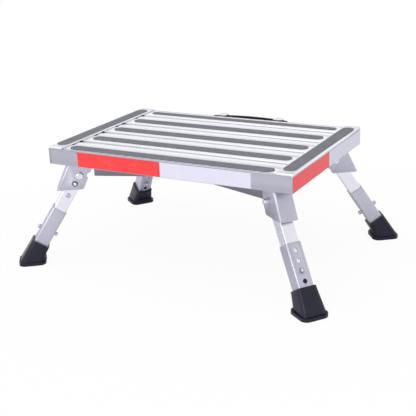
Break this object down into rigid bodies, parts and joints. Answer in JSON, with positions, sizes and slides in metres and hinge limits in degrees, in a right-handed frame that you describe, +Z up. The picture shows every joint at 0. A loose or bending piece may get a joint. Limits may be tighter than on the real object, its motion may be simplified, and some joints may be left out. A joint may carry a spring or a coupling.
{
  "type": "folding caravan entry step",
  "caption": "Aluminium platform step with grip strips, reflective edge tapes, a strap handle and splayed legs that fold under the deck and lock at several heights.",
  "frame": {"origin": "on the ground, under the middle of the deck", "axes": "+Z up, +X along the length of the deck to the right, +Y to the rear, where the handle is"},
  "size_m": [0.6204, 0.4384, 0.2224],
  "materials": {
    "frame_alu": "satin extruded aluminium",
    "slat_alu": "bright polished aluminium",
    "grip": "grey gritty anti-slip strip",
    "red_tape": "red reflective tape",
    "white_tape": "white reflective tape",
    "strap": "black soft plastic strap",
    "plated": "bright plated steel",
    "nylon": "natural nylon",
    "bracket_alu": "satin folded aluminium",
    "tube_alu": "bright aluminium tube",
    "sleeve_alu": "satin aluminium tube",
    "spring_steel": "plated spring steel",
    "foot_rubber": "black rubber"
  },
  "bodies": {
    "platform": {"rail_front": "frame_alu", "rail_rear": "frame_alu", "end_left": "frame_alu", "end_right": "frame_alu", "slat_1": "slat_alu", "slat_2": "slat_alu", "slat_3": "slat_alu", "slat_4": "slat_alu", "slat_5": "slat_alu", "slat_grips": "grip", "end_grips": "grip", "red_tapes": "red_tape", "white_tapes": "white_tape", "tie_bar_front": "frame_alu", "tie_bar_rear": "frame_alu", "handle_strap": "strap", "handle_cap_left": "plated", "handle_cap_right": "plated", "handle_rivets": "plated", "pivot_bolts": "plated", "pivot_nuts": "plated", "pivot_washers": "nylon", "bracket_rivets": "plated", "bracket_fl": "bracket_alu", "bracket_fr": "bracket_alu", "bracket_rr": "bracket_alu", "bracket_rl": "bracket_alu"},
    "leg_fl": {"tube_fl": "tube_alu", "lock_rivet_fl": "plated"},
    "lock_fl": {"lock_spring_fl": "spring_steel"},
    "sleeve_fl": {"sleeve_fl": "sleeve_alu", "foot_fl": "foot_rubber"},
    "snap_outer_fl": {"snap_arm_outer_fl": "spring_steel"},
    "snap_inner_fl": {"snap_arm_inner_fl": "spring_steel"},
    "leg_fr": {"tube_fr": "tube_alu", "lock_rivet_fr": "plated"},
    "lock_fr": {"lock_spring_fr": "spring_steel"},
    "sleeve_fr": {"sleeve_fr": "sleeve_alu", "foot_fr": "foot_rubber"},
    "snap_outer_fr": {"snap_arm_outer_fr": "spring_steel"},
    "snap_inner_fr": {"snap_arm_inner_fr": "spring_steel"},
    "leg_rr": {"tube_rr": "tube_alu", "lock_rivet_rr": "plated"},
    "lock_rr": {"lock_spring_rr": "spring_steel"},
    "sleeve_rr": {"sleeve_rr": "sleeve_alu", "foot_rr": "foot_rubber"},
    "snap_outer_rr": {"snap_arm_outer_rr": "spring_steel"},
    "snap_inner_rr": {"snap_arm_inner_rr": "spring_steel"},
    "leg_rl": {"tube_rl": "tube_alu", "lock_rivet_rl": "plated"},
    "lock_rl": {"lock_spring_rl": "spring_steel"},
    "sleeve_rl": {"sleeve_rl": "sleeve_alu", "foot_rl": "foot_rubber"},
    "snap_outer_rl": {"snap_arm_outer_rl": "spring_steel"},
    "snap_inner_rl": {"snap_arm_inner_rl": "spring_steel"}
  },
  "joints": [
    {"name": "fold_fl", "type": "hinge", "parent": "platform", "child": "leg_fl", "pos_m": [-0.19807, -0.12947, 0.16564], "axis": [0.5878, -0.809, 0], "range_deg": [0, 123], "deforming": ["lock_spring_fl"]},
    {"name": "height_fl", "type": "slide", "parent": "leg_fl", "child": "sleeve_fl", "axis": [0.4406, 0.3201, 0.8387], "range_m": [-0.0345, 0.01725], "deforming": ["snap_arm_outer_fl", "snap_arm_inner_fl"]},
    {"name": "lock_press_fl", "type": "hinge", "parent": "leg_fl", "child": "lock_fl", "pos_m": [-0.21192, -0.15165, 0.12832], "axis": [-0.6785, -0.493, 0.5446], "range_deg": [0, 13], "stiffness_Nm_per_rad": 1.2},
    {"name": "snap_outer_press_fl", "type": "hinge", "parent": "leg_fl", "child": "snap_outer_fl", "pos_m": [-0.23288, -0.15476, 0.09938], "axis": [0.5878, -0.809, 0], "range_deg": [0, 10], "stiffness_Nm_per_rad": 1.5},
    {"name": "snap_inner_press_fl", "type": "hinge", "parent": "leg_fl", "child": "snap_inner_fl", "pos_m": [-0.23288, -0.15476, 0.09938], "axis": [-0.5878, 0.809, 0], "range_deg": [0, 10], "stiffness_Nm_per_rad": 1.5},
    {"name": "fold_fr", "type": "hinge", "parent": "platform", "child": "leg_fr", "pos_m": [0.19807, -0.12947, 0.16564], "axis": [0.5878, 0.809, 0], "range_deg": [0, 123], "deforming": ["lock_spring_fr"]},
    {"name": "height_fr", "type": "slide", "parent": "leg_fr", "child": "sleeve_fr", "axis": [-0.4406, 0.3201, 0.8387], "range_m": [-0.0345, 0.01725], "deforming": ["snap_arm_outer_fr", "snap_arm_inner_fr"]},
    {"name": "lock_press_fr", "type": "hinge", "parent": "leg_fr", "child": "lock_fr", "pos_m": [0.22344, -0.13579, 0.12832], "axis": [0.6785, -0.493, 0.5446], "range_deg": [0, 13], "stiffness_Nm_per_rad": 1.2},
    {"name": "snap_outer_press_fr", "type": "hinge", "parent": "leg_fr", "child": "snap_outer_fr", "pos_m": [0.23288, -0.15476, 0.09938], "axis": [0.5878, 0.809, 0], "range_deg": [0, 10], "stiffness_Nm_per_rad": 1.5},
    {"name": "snap_inner_press_fr", "type": "hinge", "parent": "leg_fr", "child": "snap_inner_fr", "pos_m": [0.23288, -0.15476, 0.09938], "axis": [-0.5878, -0.809, 0], "range_deg": [0, 10], "stiffness_Nm_per_rad": 1.5},
    {"name": "fold_rr", "type": "hinge", "parent": "platform", "child": "leg_rr", "pos_m": [0.19807, 0.12947, 0.16564], "axis": [-0.5878, 0.809, 0], "range_deg": [0, 123], "deforming": ["lock_spring_rr"]},
    {"name": "height_rr", "type": "slide", "parent": "leg_rr", "child": "sleeve_rr", "axis": [-0.4406, -0.3201, 0.8387], "range_m": [-0.0345, 0.01725], "deforming": ["snap_arm_outer_rr", "snap_arm_inner_rr"]},
    {"name": "lock_press_rr", "type": "hinge", "parent": "leg_rr", "child": "lock_rr", "pos_m": [0.21192, 0.15165, 0.12832], "axis": [0.6785, 0.493, 0.5446], "range_deg": [0, 13], "stiffness_Nm_per_rad": 1.2},
    {"name": "snap_outer_press_rr", "type": "hinge", "parent": "leg_rr", "child": "snap_outer_rr", "pos_m": [0.23288, 0.15476, 0.09938], "axis": [-0.5878, 0.809, 0], "range_deg": [0, 10], "stiffness_Nm_per_rad": 1.5},
    {"name": "snap_inner_press_rr", "type": "hinge", "parent": "leg_rr", "child": "snap_inner_rr", "pos_m": [0.23288, 0.15476, 0.09938], "axis": [0.5878, -0.809, 0], "range_deg": [0, 10], "stiffness_Nm_per_rad": 1.5},
    {"name": "fold_rl", "type": "hinge", "parent": "platform", "child": "leg_rl", "pos_m": [-0.19807, 0.12947, 0.16564], "axis": [-0.5878, -0.809, 0], "range_deg": [0, 123], "deforming": ["lock_spring_rl"]},
    {"name": "height_rl", "type": "slide", "parent": "leg_rl", "child": "sleeve_rl", "axis": [0.4406, -0.3201, 0.8387], "range_m": [-0.0345, 0.01725], "deforming": ["snap_arm_outer_rl", "snap_arm_inner_rl"]},
    {"name": "lock_press_rl", "type": "hinge", "parent": "leg_rl", "child": "lock_rl", "pos_m": [-0.22344, 0.13579, 0.12832], "axis": [-0.6785, 0.493, 0.5446], "range_deg": [0, 13], "stiffness_Nm_per_rad": 1.2},
    {"name": "snap_outer_press_rl", "type": "hinge", "parent": "leg_rl", "child": "snap_outer_rl", "pos_m": [-0.23288, 0.15476, 0.09938], "axis": [-0.5878, -0.809, 0], "range_deg": [0, 10], "stiffness_Nm_per_rad": 1.5},
    {"name": "snap_inner_press_rl", "type": "hinge", "parent": "leg_rl", "child": "snap_inner_rl", "pos_m": [-0.23288, 0.15476, 0.09938], "axis": [0.5878, 0.809, 0], "range_deg": [0, 10], "stiffness_Nm_per_rad": 1.5}
  ]
}
